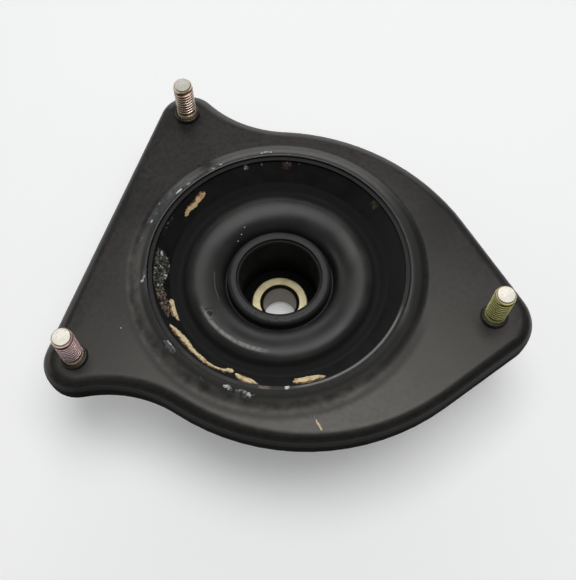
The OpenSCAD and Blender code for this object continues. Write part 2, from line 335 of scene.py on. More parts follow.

# %% [markdown]
# Round the raised rim the coat is rubbed to a bluish grey and hazed all the way round. On the near side the
# foot of the rim is painted paler in torn patches, partly dust and partly a painted highlight, and a thin
# line of painted shade runs along that foot. The gap beside the cup is painted black as painted shade. The
# lower skirt and the crest of the near rim are painted darker as painted shade, and both are rougher. The
# rubbed and hazed marks are films with no height, so they belong in the material. Each mark is a mask of
# arcs and rings, and some are rougher as well as paler or darker.

# %% Rubbed rim, paler foot and painted shade on the gap, skirt and near crest
rubbed_arcs = [
    (126, 145, 0.45), (150, 178, 0.8), (183, 190, 0.5), (197, 211, 0.5), (232, 244, 0.35), (262, 281, 0.35),
]
rubbed = worn(tree, polar, rubbed_arcs, (51.8, 55.8), 4.0, 1.4)
hazed = overlap(tree, band(tree, far, 51.2, 54.0, 1.6), 0.8)
# Painted shade: the gap beside the cup is painted near black.
gap = band(tree, far, None, 50.6, 0.4)
# Painted shade: a thin dark line along the crease at the rim's foot, near side.
shaded_foot_line = worn(tree, polar, [(200, 262, 0.8)], (57.7, 57.9), 12.0, 0.5)
# Partly dust, partly painted highlight: the near foot of the rim is painted paler.
dust_and_painted_light = worn(tree, polar, [(195, 318, 0.9)], (54.8, 58.2), 20.0, 1.8)
dust_and_painted_light = overlap(tree, dust_and_painted_light, torn(tree, place, 4.0, 6.0, 0.25, 0.75))
# Painted shade: the skirt is painted darker, and it is also rougher.
dull = band(tree, height, None, plate_mm - 6.0, 3.5)
grimy = worn(tree, polar, [(190, 350, 1.0)], (56.0, 59.5), 10.0, 2.5)
# Painted shade: the crest of the near rim is painted darker, and it is also rougher.
crest = worn(tree, polar, [(215, 345, 1.0)], (49.0, 53.0), 14.0, 1.4)
coats = [
    (torn(tree, place, 2.2, 6.0, 0.10, 0.70, rubbed), "4b5256"), (hazed, "313230"), (gap, "050505"),
    (shaded_foot_line, "0a0a0a"), (dust_and_painted_light, "4a4844"), (dull, "090909"), (overlap(tree, crest, 0.7), "0c0c0c"),
]
colour = painted(tree, colour, coats)
for mask, rougher in ((dull, 0.50), (grimy, 0.16), (crest, 0.38)):
    rough = add(tree, "Math", {0: mask, 1: rougher, 2: rough}, operation="MULTIPLY_ADD")
finish_surface(tree, colour, rough, (place, 0.9), 0.05, 0.10)
plate.data.materials.append(ecoat_plate)
print("plate coat with", len(coats), "kinds of marks")

# %% [markdown]
# Dipped coats run thin where the sheet turns down, so the gloss fades round the bend. Each
# strip of faces takes a copy of the coat with less gloss, picked by how far the face has
# turned from the level. Faces near the bowl are left out, because the rim is well coated.

# %% Gloss that fades round the bend
glosses = [0.42, 0.31, 0.20, 0.11, 0.05]
bowl_reach = 60 * mm
for gloss in glosses:
    thin = ecoat_plate.copy()
    thin.node_tree.nodes["Principled BSDF"].inputs["Specular IOR Level"].default_value = gloss
    plate.data.materials.append(thin)
for face in plate.data.polygons:
    turned_down = face.center.z < plate_top - 0.05 * mm and face.center.xy.length > bowl_reach
    if turned_down and -0.5 < face.normal.z < 0.98:
        strip = int(len(glosses) * (1 - max(0, face.normal.z)))
        face.material_index = 1 + min(len(glosses) - 1, strip)
print("strips of the bend:", len(glosses))


# %% [markdown]
# The cup and the sleeve wear the same coat, but inside the bowl a skin of rubber was left on it by the
# mould, which is matt and nearly black. Their thin upper edges are painted lighter as a painted highlight,
# where the light from above falls on them, which draws the two fine grey circles. On the near side a
# brighter painted highlight lies on the cup's edge, and outside the edge the gap to the plate is painted
# black as painted shade. Two rust stains and a few pale specks sit just inside the cup's edge, and on its
# near side the edge is chipped in two places.

# %% Marks on the cup
def cup_marks(tree, place, polar, edge):
    """The coats on the cup, from the flare's stains to the chips in its edge."""
    marks = []
    for arc, tone in (((52.8, 56.2, 0.8), "4d4530"), ((102.5, 106.5, 0.85), "583f3a")):
        stain = worn(tree, polar, [arc], (46.9, 48.7))
        marks.append((torn(tree, place, 1.5, 4.0, 0.26, 0.62, stain), tone))
    speck_arcs = [
        (97.5, 98.5, 0.8), (103.2, 104.4, 0.9), (115.8, 117.4, 0.9), (123.0, 125.4, 1.0), (170, 180, 0.7),
    ]
    specks = worn(tree, polar, speck_arcs, (48.0, 48.8), 0.8, 0.4)
    marks.append((torn(tree, place, 1.2, 4.0, 0.34, 0.58, specks), "8f8f84"))
    # Painted shade: the gap outside the cup's edge is painted black.
    marks.append((band(tree, polar[1], 50.25, None, 0.2), "050505"))
    # Painted highlight: the upper edge, lit from above, is painted lighter grey.
    marks.append((edge, "222223"))
    # Painted highlight: a brighter glint on the near side of the cup's edge.
    painted_glint = worn(tree, polar, [(300, 350, 0.9)], (49.3, 49.7), 9.0, 0.25)
    marks.append((overlap(tree, painted_glint, edge), "7a7a78"))
    for arc, tone in (((278.8, 285.0, 0.8), "75645e"), ((290.4, 292.2, 1.0), "d5d5cd")):
        chip = worn(tree, polar, [arc], (48.6, 49.9), 0.7, 0.3)
        marks.append((torn(tree, place, 1.4, 4.0, 0.22, 0.5, chip), tone))
    return marks


# %% [markdown]
# Cup and sleeve share one recipe. The sleeve is only greyer and less glossy, as the light in the well is
# dim, and it has no marks but its edge with its painted highlight. The edge is smoother than the rest.

# %% Matt coat of cup and sleeve
matt_coats = [
    (cup, cup_edge, ("0d0d0d", "151514"), 0.2),
    (sleeve, neck_edge, ("15171a", "1b1d20"), 0.08),
]
for piece, edge_mm, codes, gloss in matt_coats:
    matt = {"Specular IOR Level": gloss}
    coat, tree, place = start_material("electro_coated_" + piece.name, matt)
    polar = angle_and_radius(tree, place)
    colour, rough, _ = mottled(tree, place, 6, 4.0, codes, 0.35, 0.7, (0.48, 0.62))
    # Painted highlight: the upper edge is painted lighter, and it is also smoother.
    edge = band(tree, polar[2], edge_mm - 0.08, None, 0.22)
    marks = cup_marks(tree, place, polar, edge) if piece is cup else [(edge, "222223")]
    rough = add(tree, "Math", {0: edge, 1: -0.16, 2: rough}, operation="MULTIPLY_ADD")
    finish_surface(tree, painted(tree, colour, marks), rough, (place, 0.8), 0.05)
    piece.data.materials.append(coat)
    print(piece.name, "edge rubbed at", round(edge_mm, 1), "mm")


# %% [markdown]
# The bush is one moulding of natural rubber. Its section runs along the upper face, over the
# lip, down the neck and back along the cup. The upper face is a row of curves: a valley and the
# ridge's outside are arcs that touch, and the long inner slope is a quarter of an ellipse.
# Each curve is finer here than in the solid, so the highlight on the ridge runs smoothly.

# %% Upper face of the rubber, in mm over the plate's top
def arc(centre, radius, begin, end, count):
    """Points of an arc, both ends included, angles in degrees."""
    turns = [math.radians(begin + (end - begin) * i / count) for i in range(count + 1)]
    return [(centre[0] + radius * math.cos(a), centre[1] + radius * math.sin(a)) for a in turns]


wall_r, wall_z = 42.9, -5.5
crest_r, crest_z = 32.5, -4.5
ridge_r, valley_r = 6.0, 1.8
lip_r, lip_z, lip_round = 20.75, -7.5, 2.0
groove_r = 0.6
slope_h = 8.0
slope_w = crest_r - lip_r - 2 * groove_r
slope_steps = 30
ridge_mid = (crest_r, crest_z - ridge_r)
lift = wall_z - wall_r + ridge_mid[0] - ridge_mid[1] + valley_r * math.sqrt(2)
reach = (math.sqrt(2 * (ridge_r + valley_r) ** 2 - lift**2) - lift) / 2
valley_mid = (ridge_mid[0] + reach, ridge_mid[1] + reach + lift)
touch = math.degrees(math.atan2(reach + lift, reach))

section = [(wall_r, wall_z)]
section += arc(valley_mid, valley_r, -45, touch - 180, 10)
section += arc(ridge_mid, ridge_r, touch, 90, 14)[1:]
for i in range(1, slope_steps + 1):
    turn = math.radians(90 * i / slope_steps)
    section.append((crest_r - slope_w * math.sin(turn), crest_z - slope_h * (1 - math.cos(turn))))
section += arc((lip_r + groove_r, crest_z - slope_h), groove_r, 0, -180, 6)[1:]
section += arc((lip_r - lip_round, lip_z - lip_round), lip_round, 0, 90, 9)
print("upper face of", len(section), "points, valley at", [round(c, 2) for c in valley_mid])

# %% [markdown]
# The rest of the section follows the steel that the rubber is bonded to: the sleeve's neck, its
# wider seat round the bearing and the cup's floor with its round bend. Between seat and floor
# the rubber bellies in a free curve.

# %% Lower face of the rubber
neck_r, neck_z, neck_round = 17.4, -8.6, 0.5
seat_r, seat_z, seat_bevel = 24.5, -30.5, 1.0
seat_low = -38.0
belly_in, belly_r, belly_z = 26.0, 5.0, -37.0
floor_r, floor_top, floor_low = 36.0, -24.5, -26.0
bend_mid, bend_r = (41.4, -23.0), 1.5
lip_flat, lip_step = 19.0, 0.35
section += [(lip_flat - lip_step * i, lip_z) for i in range(1, 5)]
section += arc((neck_r, lip_z - neck_round), neck_round, 90, 180, 4)
section += [(neck_r - neck_round, neck_z), (neck_r, neck_z), (neck_r, seat_z)]
section += [(seat_r - seat_bevel, seat_z), (seat_r, seat_z - seat_bevel)]
section += [(seat_r, seat_low), (belly_in, seat_low)]
section += arc((belly_in + belly_r, belly_z), belly_r, 180, 90, 10)
section += [(floor_r - 1, floor_low - 0.6), (floor_r, floor_low), (floor_r, floor_top)]
section += arc(bend_mid, bend_r, -90, 0, 5)
print("whole section of", len(section), "points")


# %% [markdown]
# A turned shape can be drawn with one vertex. A plane is merged to a point, the point is
# extruded along the section, and an edge closes the loop. The Screw modifier then turns it
# round the bore in fine steps and closes the seam.

# %% Turn the section round the bore
def wire_loop(name, points):
    """A closed outline of points (distance, height over the plate) in mm, drawn vertex by vertex."""
    radius, z = points[0]
    bpy.ops.mesh.primitive_plane_add(size=mm, location=(radius * mm, 0, plate_top + z * mm))
    loop = bpy.context.object
    loop.name = name
    bpy.ops.object.transform_apply(location=True)
    edit_all()
    bpy.ops.mesh.merge(type="CENTER")
    for (r0, z0), (r1, z1) in zip(points, points[1:]):
        move = ((r1 - r0) * mm, 0, (z1 - z0) * mm)
        bpy.ops.mesh.extrude_vertices_move(TRANSFORM_OT_translate={"value": move})
    bpy.ops.object.mode_set(mode="OBJECT")
    for vertex in loop.data.vertices:
        spot = (vertex.co.x / mm, (vertex.co.z - plate_top) / mm)
        vertex.select = min(math.dist(spot, points[0]), math.dist(spot, points[-1])) < 0.01
    bpy.ops.object.mode_set(mode="EDIT")
    bpy.ops.mesh.edge_face_add()
    bpy.ops.object.mode_set(mode="OBJECT")
    return loop


def screwed(loop, steps, **settings):
    """Turns an outline round the Z axis, this many steps a turn, with the Screw modifier."""
    turn = loop.modifiers.new("turn", "SCREW")
    turn.steps = turn.render_steps = steps
    for name, value in settings.items():
        setattr(turn, name, value)
    apply_all(loop)


bush = wire_loop("bonded_rubber_bush", section)
screwed(bush, 480, use_merge_vertices=True, merge_threshold=merge_gap)
edit_all()
bpy.ops.mesh.remove_doubles(threshold=merge_gap)
leave_edit()
print("bush:", len(bush.data.polygons), "faces")

# %% [markdown]
# A moulded face is never perfect. The upper face sags and swells by a few hundredths of a
# millimetre, the lip is chewed on the side where tools rest on it, and there is one dent on
# the ridge with a raised edge. These are moves of single vertices along the height.

# %% Sag, chewed lip and dent
upper_face, inner_edge, outer_edge = -14, 17.6, 42.5
sag, sag_wave, swell_limit = 0.05, 7, 0.25
chew_angle, chew_width, chew_depth, chew_grain, chew_low = 285, 35, 0.22, 1.6, -11
dent_angle, dent_r, dent_depth, dent_wide = math.radians(231), 31.9, 0.7, 0.8
edge_r, edge_wide, edge_high = 1.45, 0.45, 0.22
dent = Vector((dent_r * math.cos(dent_angle), dent_r * math.sin(dent_angle)))
for vertex in bush.data.vertices:
    flat = vertex.co.xy / mm
    z = (vertex.co.z - plate_top) / mm
    if z < upper_face or not inner_edge <= flat.length <= outer_edge:
        continue
    move = sag * noise.noise(Vector((flat.x / sag_wave, flat.y / sag_wave, 0)))
    if flat.length < lip_r + 0.1:
        angle = math.degrees(math.atan2(flat.y, flat.x)) % 360
        chewed = math.exp(-(((angle - chew_angle) / chew_width) ** 2))
        ripple = noise.fractal(Vector((flat.x / chew_grain, flat.y / chew_grain, 2)), 1.0, 2.0, 3)
        move -= (sag + chew_depth * chewed) * max(0, ripple) * max(0, min(1, (z - chew_low) / 2))
    away = (flat - dent).length
    move += edge_high * math.exp(-(((away - edge_r) / edge_wide) ** 2))
    move -= dent_depth * math.exp(-((away / dent_wide) ** 2))
    vertex.co.z += min(move, swell_limit) * mm
only(bush)
bpy.ops.object.shade_smooth_by_angle(angle=math.radians(40))
belongs(bush, "housing", "rubber_bush")
print("dent at", [round(c, 1) for c in dent], "mm")

# %% [markdown]
# Moulded rubber is a soft black with a broad, weak sheen. The mould was turned on a lathe, so fine rings
# show on the inner slope, drawn 0.8 mm apart so that they show at all. Age brings a greyish bloom. The
# valley and the groove are painted darker as painted shade and the lip a little darker, and all three are
# duller. On one side the crest of the ridge is worn and painted pale along it as a painted highlight, a
# paler patch on the other side is a painted highlight too, and there is one thin scratch.

# %% Moulded rubber
rubber, tree, place = start_material("moulded_natural_rubber", {"Specular IOR Level": 0.38})
polar = angle_and_radius(tree, place)
_, far, height = polar
colour, rough, _ = mottled(tree, place, 14, 5.0, ("212120", "2e2e2c"), 0.35, 0.75, (0.34, 0.46))
# Partly wear, partly painted highlight: a pale line along the ridge's crest.
worn_streak_highlight = worn(tree, polar, [(231, 274, 1.0)], (32.9, 33.4), 9.0, 0.9)
worn_streak_highlight = overlap(tree, worn_streak_highlight, torn(tree, place, 2.5, 4.0, 0.25, 0.6))
worn_streak_highlight = overlap(tree, worn_streak_highlight, band(tree, height, plate_mm - 8, None, 4.0))
scratch = worn(tree, polar, [(196, 221, 0.7)], (25.5, 25.65), 2.0, 0.12)
# Painted highlight: a paler patch on the ridge's inner slope.
painted_highlight_patch = worn(tree, polar, [(36, 44, 0.45)], (29.0, 30.4), 14.0, 3.0)
colour = painted(tree, colour, [(worn_streak_highlight, "7d7d77"), (scratch, "6a6a66"), (painted_highlight_patch, "4c4c47")])
# Painted shade: the valley and the groove are painted darker, the lip a little; all three are rougher.
for low, high, shade_and_dullness in ((36.8, 43.5, 0.5), (20.9, 22.2, 0.12), (16.5, 20.6, 0.08)):
    shaded_ring = band(tree, far, low, high, 0.8)
    colour = painted(tree, colour, [(overlap(tree, shaded_ring, 1.6 * shade_and_dullness), "0c0c0c")])
    rough = add(tree, "Math", {0: shaded_ring, 1: shade_and_dullness, 2: rough}, operation="MULTIPLY_ADD")
lines = overlap(tree, turning_lines(tree, far, 0.8), band(tree, far, 22.5, 29.0, 1.5))
grain = add(tree, "TexNoise", {"Vector": place, "Scale": per_mm(0.7), "Detail": 2.0})
relief = add(tree, "Math", {0: lines, 1: 0.12, 2: grain}, operation="MULTIPLY_ADD")
finish_surface(tree, colour, rough, relief, 0.06)
bush.data.materials.append(rubber)
print("rubber on", bush.name)

# %% [markdown]
# The bearing is hidden but for its inner ring, whose ground end face shows as a pale ring deep in the well.
# Ground steel carries fine rings from the grinding wheel, drawn coarser here so that they show, and the
# steel is painted a warm cream as a painted reflection of warm light. Its chamfers hold dark grease and its
# bore has turned grey.

# %% Inner ring of the bearing
ring_steel, tree, place = start_material("ground_bearing_steel_ring", {"Metallic": 0.6})
far = angle_and_radius(tree, place)[1]
# Painted reflection: the steel is painted a warm cream for the warm light it reflects.
colour = mottled(tree, place, 5, 4.0, ("cdc19c", "b8a67c"), 0.40, 0.70)[0]
greasy = band(tree, far, 7.15, 8.15, 0.25)
inside = band(tree, far, None, 7.05, 0.1)
colour = painted(tree, colour, [(greasy, "2b2118"), (inside, "857f73")])
wheel = turning_lines(tree, far, 0.4)
rough = add(tree, "MapRange", {0: wheel, 1: -1.0, 2: 1.0, 3: 0.38, 4: 0.50})
finish_surface(tree, colour, rough, wheel, 0.01)
race.data.materials.append(ring_steel)
print("inner ring dressed")

# %% [markdown]
# The remaining solids are seen only from below or through gaps. The outer ring and the balls
# are ground steel, the seals black nitrile rubber, the cage ivory nylon and the snap ring
# phosphated spring steel. One loop gives each a slightly mottled finish.

# %% Finishes of the other solids
balls = [n for n in nodes if n.startswith("bearing_ball")]
small_finishes = {
    "ground_bearing_steel": (balls + ["bearing_outer_ring"], ("c9c3b2", "a79d84"), 0.34, 0.9, 0.5, 5.0),
    "nitrile_seal_rubber": (["upper_seal", "lower_seal"], ("060505", "0b0908"), 0.85, 0.0, 0.15, 3.0),
    "moulded_nylon": (["ball_cage"], ("d8cba4", "c9b98c"), 0.48, 0.0, 0.5, 4.0),
    "phosphated_spring_steel": (["retaining_ring"], ("3a3b3c", "57544e"), 0.5, 1.0, 0.5, 1.2),
}
for name, (members, codes, dullness, metallic, gloss, patch) in small_finishes.items():
    constants = {"Metallic": metallic, "Specular IOR Level": gloss}
    finish, tree, place = start_material(name, constants)
    dull = (dullness - 0.08, dullness + 0.08)
    colour, rough, _ = mottled(tree, place, patch, 4.0, codes, 0.35, 0.7, dull)
    finish_surface(tree, colour, rough, (place, 0.6), 0.02)
    for member in members:
        nodes[member].data.materials.clear()
        nodes[member].data.materials.append(finish)
print("finishes:", ", ".join(small_finishes))


# %% [markdown]
# The studs are M8 studs with a rolled thread, plated in yellow zinc. The solids hold them as
# plain cylinders, so each one is modelled again here. The core is turned as on a lathe: a
# filled circle is extruded upwards step by step, and each new face is scaled to the next
# radius. It ends in the smooth, chamfered lead that helps a nut to start.

# %% The turned core of a stud
def turned(name, steps, sides):
    """A round bar made of steps (radius, height above the plate) in mm."""
    radius, z = steps[0]
    place = (0, 0, plate_top + z * mm)
    bpy.ops.mesh.primitive_circle_add(vertices=sides, radius=radius * mm, fill_type="NGON", location=place)
    made = bpy.context.object
    made.name = name
    bpy.ops.object.transform_apply(location=True)
    edit_all()
    for next_radius, next_z in steps[1:]:
        bpy.ops.mesh.extrude_region_move(TRANSFORM_OT_translate={"value": (0, 0, (next_z - z) * mm)})
        ratio = next_radius / radius
        bpy.ops.transform.resize(value=(ratio, ratio, 1), center_override=(0, 0, plate_top + next_z * mm))
        radius, z = next_radius, next_z
    leave_edit()
    return made


tip = stud_tip - plate_mm
foot = stud_foot - plate_mm
thread_out, root_r = 3.96, 3.32
knurl_r, knurl_root = 4.4, 4.02
knurl_low, knurl_high = -3.0, 1.6
core_steps = [
    (5.4, foot), (6.0, foot + 0.5), (6.0, knurl_low - 0.05), (knurl_r, knurl_low), (knurl_r, knurl_high),
    (thread_out, 1.8), (thread_out, 3.4), (root_r, 3.8), (root_r, tip - 1.55), (3.62, tip - 1.4),
    (3.72, tip - 1.2), (3.72, tip - 0.75), (3.52, tip - 0.3), (3.1, tip),
]
stud_sides = 48
stud = turned("stud", core_steps, stud_sides)
print("stud core:", len(stud.data.polygons), "faces, tip", round(tip, 2), "mm above the plate")

# %% [markdown]
# Below the plate's collar the core has a straight knurl that bites into the sheet. Its teeth
# come from pulling every second vertex of that stretch inwards.

# %% Knurl
teeth = 0
side_angle = 360 / stud_sides
for vertex in stud.data.vertices:
    z = (vertex.co.z - plate_top) / mm
    side = round(math.degrees(math.atan2(vertex.co.y, vertex.co.x)) / side_angle)
    on_knurl = knurl_low - 0.02 < z < knurl_high + 0.05 and abs(vertex.co.xy.length / mm - knurl_r) < 0.05
    if on_knurl and side % 2:
        vertex.co.xy *= knurl_root / knurl_r
        teeth += 0.5
print("knurl teeth:", int(teeth))

# %% [markdown]
# The thread is a V-shaped ridge wound round the core. Four points draw its section, in the way
# the rubber's was drawn, and the Screw modifier carries it up the helix. An M8 thread has a
# pitch of 1.25 mm. It is drawn at 1.5 mm, because finer turns blur together.

# %% The rolled thread
pitch = 1.5
thread_in = 3.25
thread_low, thread_high = 4.15, tip - 1.3
flank, crest_flat = 0.36, 0.46
turns = int((thread_high - thread_low) / pitch)
base = thread_low - 0.52
top = base + 2 * flank + crest_flat
ridge_points = [(thread_in, base), (thread_out, base + flank), (thread_out, top - flank), (thread_in, top)]
ridge = wire_loop("thread_ridge", ridge_points)
screwed(ridge, 40, screw_offset=pitch * mm, iterations=turns, use_merge_vertices=False)
print("thread of", turns, "turns,", len(ridge.data.polygons), "faces")

# %% [markdown]
# A rolled thread has no blunt ends. Over the first and last steps of the helix the ridge sinks
# into the core, its two open ends are filled, and core and ridge are joined to one stud. Blender
# can mistake which side of a helix is its outside, so a face on the crest decides.

# %% Run the thread out and join it to the core
corners = 4
run_out = 14
sections = len(ridge.data.vertices) // corners
sunk = thread_in - 0.1
for index, vertex in enumerate(ridge.data.vertices):
    step = index // corners
    share = min(1, step / run_out, (sections - 1 - step) / run_out)
    radius = vertex.co.xy.length / mm
    vertex.co.xy *= (sunk + share * (radius - sunk)) / radius
edit_all()
bpy.ops.mesh.fill_holes(sides=8)
leave_edit()
crest_face = max(ridge.data.polygons, key=lambda face: face.center.xy.length)
if crest_face.normal.xy.dot(crest_face.center.xy) < 0:
    ridge.data.flip_normals()
only(stud)
ridge.select_set(True)
bpy.ops.object.join()
bpy.ops.object.shade_smooth_by_angle(angle=sharp_angle)
print("whole stud:", len(stud.data.polygons), "faces")


# %% [markdown]
# Yellow zinc is a zinc plate under a thin chromate film. The film's thickness changes over the surface, so
# it shifts between straw, pink and green like oil on water, and each stud on the part has its own cast. The
# roots of the thread and the knurl are painted darker as painted shade, found by the distance from the
# stud's own axis, which a Mapping node gives, and the crests are painted paler as a painted highlight. The
# gold band at the foot is painted light, partly as a painted highlight. The end face is painted nearly
# white as a painted highlight, with a brown ring of painted shade where the chamfer turns down.

# %% Yellow zinc
def yellow_zinc(name, pale, deep, root_shade):
    """Chromated zinc for the stud of this name, from its crests' colour to the painted shade of its roots.
    """
    spot = stud_places[name]
    zinc, tree, place = start_material("yellow_zinc_" + name, {"Metallic": 0.55})
    own = add(tree, "Mapping", {0: place, 1: (-spot.x, -spot.y, 0)})
    _, reach, height = angle_and_radius(tree, own)
    colour, rough, film = mottled(tree, own, 4.5, 3.0, (pale, deep), 0.36, 0.66, (0.22, 0.34))
    # Painted highlight: the thread's crests are painted paler.
    crest = overlap(tree, band(tree, reach, 3.95, None, 0.05), 0.6)
    # Partly the gold film, partly painted highlight: the foot band is painted light.
    gold_foot_highlight = band(tree, height, None, plate_mm + 2.8, 0.8)
    lead = band(tree, height, stud_tip - 0.9, None, 0.8)
    gilt = painted(tree, linear(pale), [(film, "e8cf94")])
    # Painted highlight: the end face is painted nearly white.
    end_face_highlight = overlap(tree, lead, band(tree, reach, None, 3.1, 0.1))
    # Painted shade: a brown ring where the chamfer turns down.
    chamfer_shade = overlap(tree, lead, band(tree, reach, 3.2, 3.42, 0.1), 0.85)
    above_plate = band(tree, height, plate_mm + 0.3, None, 0.3)
    threaded = overlap(tree, above_plate, band(tree, height, None, stud_tip - 1.5, 0.2))
    # Painted shade: the thread's roots take the dark root colour.
    shaded_roots = overlap(tree, threaded, band(tree, reach, None, 3.77, 0.11))
    # Painted shade: the knurl at the plate is painted nearly black.
    shaded_knurl = overlap(tree, above_plate, band(tree, height, None, plate_mm + 1.7, 0.2))
    shaded_knurl = overlap(tree, shaded_knurl, band(tree, reach, None, 4.2, 0.16))
    coats = [
        (crest, pale), (gold_foot_highlight, "f0dd9c"), (lead, gilt), (end_face_highlight, "fffaec"), (chamfer_shade, "6a4a30"),
        (shaded_roots, root_shade), (shaded_knurl, "15110c"),
    ]
    finish_surface(tree, painted(tree, colour, coats), rough, (own, 1.6), 0.02)
    return zinc


# %% [markdown]
# All three studs are alike, so the one model is copied, each copy with a mesh of its own that
# is moved to its place. They differ only in the cast of their film: straw green on the lone
# stud, straw on the far one of the pair and pink on the near one.

# %% The three studs
# Each cast gives the crests' colour, the film's deeper colour and the painted shade of the roots.
stud_casts = {
    "lone_stud": ("fdf9b4", "ded65a", "565616"),
    "pair_stud_left": ("fff0e0", "eac4a6", "7a5844"),
    "pair_stud_right": ("ffe8e2", "ecb6bb", "6e464c"),
}
for name, cast in stud_casts.items():
    placed = copied(stud.data, name)
    for vertex in placed.data.vertices:
        vertex.co.xy += stud_places[name].xy
    placed.data.materials.append(yellow_zinc(name, *cast))
    belongs(placed, "housing", "mounting_studs")
bpy.data.objects.remove(stud)
print("studs:", ", ".join(stud_casts))


# %% [markdown]
# Inside the cup's edge the black skin has peeled and the tan bonding agent below shows as torn
# flakes. A flake is a thin skin on the flare: a grid is added, the faces outside the torn
# outline are selected, the vertices are laid on the sloping surface, the selected faces are
# deleted, and Solidify gives the rest its thickness.

# %% A torn skin on a surface
def torn_skin(name, spans, surface, keep, thickness, cell, material):
    """Lays a grid over two spans on a surface and leaves only the faces that keep() likes."""
    (u0, u1, u_size), (v0, v1, v_size) = spans
    counts = [max(2, math.ceil(size / cell)) for size in (u_size, v_size)]
    bpy.ops.mesh.primitive_grid_add(x_subdivisions=counts[0], y_subdivisions=counts[1], size=1)
    skin = bpy.context.object
    skin.name = name
    bpy.ops.object.mode_set(mode="EDIT")
    bpy.ops.mesh.select_all(action="DESELECT")
    bpy.ops.object.mode_set(mode="OBJECT")

    def spot(co):
        return u0 + (co.x + 0.5) * (u1 - u0), v0 + (co.y + 0.5) * (v1 - v0)

    for face in skin.data.polygons:
        face.select = not keep(*spot(face.center))
    for vertex in skin.data.vertices:
        vertex.co = surface(*spot(vertex.co))
    bpy.ops.object.mode_set(mode="EDIT")
    bpy.ops.mesh.delete(type="FACE")
    bpy.ops.object.mode_set(mode="OBJECT")
    thick = skin.modifiers.new("thick", "SOLIDIFY")
    thick.thickness = thickness * mm
    thick.offset = 1
    apply_all(skin)
    skin.data.materials.append(material)
    belongs(skin, "housing")
    print(name, "has", len(skin.data.polygons), "faces")


# %% [markdown]
# The flare of the cup is a cone of 45 degrees, so a place on it is an angle and a distance
# down the slope. A flake's outline is a short list of stations: an angle with the flake's upper
# and lower edge there. Noise shifts both edges, so no edge is straight.

# %% Places on the flare and torn outlines
flare_r, flare_z = 48.9, 0.5


def around(angle, radius, z):
    """A point at an angle in degrees, a distance and a height over the plate in mm."""
    turn = math.radians(angle)
    return Vector((radius * math.cos(turn) * mm, radius * math.sin(turn) * mm, plate_top + z * mm))


def on_flare(angle, down):
    """A point on the cup's flare, this far down its slope, measured across in mm."""
    lift = 0.05 * noise.noise(Vector((angle * 0.8, down * 1.3, 0)))
    return around(angle, flare_r - down - lift, flare_z - down + lift)


def between(stations, angle):
    """The two edges of an outline at an angle, straight between its stations."""
    for (a0, low0, high0), (a1, low1, high1) in zip(stations, stations[1:]):
        if a0 <= angle <= a1:
            share = (angle - a0) / (a1 - a0)
            return low0 + share * (low1 - low0), high0 + share * (high1 - high0)
    return None


def torn_outline(stations, share, rag):
    """Says whether a place lies in an outline of which this share, from its lower edge, is left."""
    def inside(angle, down):
        ragged = rag * noise.fractal(Vector((angle * 0.55, down * 0.9, 3.0 + share)), 0.9, 2.1, 4)
        edges = between(stations, angle + 1.5 * ragged)
        if edges is None:
            return False
        low = edges[1] - share * (edges[1] - edges[0])
        return low + ragged < down < edges[1] + 0.5 * ragged
    return inside


print("flare starts at", [round(c / mm, 2) for c in on_flare(0, 0)])

# %% [markdown]
# Each flake has two layers: a thin brown fringe of primer and, over its lower part, the thicker
# cream film of bonding agent. Both are brittle and matt, mottled from pale to brown. On the far
# left the film has aged to a golden tan.

# %% Primer and bonding agent
film_codes = {"primer_fringe": ("8a6a48", "4a3524"), "bonding_agent_film": ("e0d0a8", "b09062")}
films = {}
for name, codes in film_codes.items():
    films[name], tree, place = start_material(name)
    colour = mottled(tree, place, 1.8, 5.0, codes, 0.42, 0.68)[0]
    if name == "bonding_agent_film":
        share = angle_and_radius(tree, place)[0]
        colour = painted(tree, colour, [(arcs_mask(tree, share, [(146, 167, 0.4)], 4.0), "b88a4c")])
    patches = add(tree, "TexNoise", {"Vector": place, "Scale": per_mm(1.5), "Detail": 3.0})
    rough = add(tree, "MapRange", {0: patches, 1: 0.3, 2: 0.7, 3: 0.62, 4: 0.8})
    finish_surface(tree, colour, rough, (place, 0.5), 0.1, 0.3)
print("films:", ", ".join(films))

# %% [markdown]
# Five flakes are left on the part, and a loop lays both layers of each. Their places and widths
# stand in the stations alone. The grid's cells are 0.13 mm, fine enough for a torn edge.

# %% Flakes on the flare
flake_outlines = {
    "flake_far_left": [
        (148.6, 1.6, 2.6), (151, 1.2, 3.2), (154, 1.8, 3.5), (157, 2.1, 3.8), (160, 2.1, 3.6),
        (163, 2.3, 3.8), (164.8, 3.1, 3.7),
    ],
    "flake_curl": [
        (212.8, 5.2, 6.0), (214.5, 4.5, 6.4), (217, 4.7, 6.3), (220, 4.1, 6.2), (222.5, 4.2, 6.1),
        (224, 4.8, 5.9), (225.6, 5.5, 5.9),
    ],
    "flake_long": [
        (227.3, 1.8, 2.1), (229, 1.3, 2.6), (232, 1.2, 3.7), (236, 1.6, 4.2), (240, 1.6, 4.2),
        (243, 1.6, 3.5), (246.5, 1.5, 3.3), (251, 1.2, 3.2), (254, 1.0, 2.7), (257, 1.7, 2.8),
        (260, 1.8, 3.1), (262.3, 1.9, 4.4), (264.3, 2.5, 5.6), (266, 3.5, 4.4),
    ],
    "flake_near_left": [
        (267.2, 3.2, 4.0), (269, 1.5, 3.9), (272, 0.6, 3.6), (274.5, 0.2, 3.4), (277, 0.6, 2.5),
        (279.2, 0.6, 0.9),
    ],
    "flake_near": [
        (294.3, 2.3, 3.1), (296, 1.3, 4.3), (299, 0.9, 4.3), (301, 0.9, 4.5), (304, 1.0, 4.0),
        (306.5, 1.0, 3.6), (309, 1.1, 1.8),
    ],
}
flake_layers = [("_fringe", 1.0, 0.5, 0.07, "primer_fringe"), ("", 0.74, 0.4, 0.15, "bonding_agent_film")]
fine_cell = 0.13
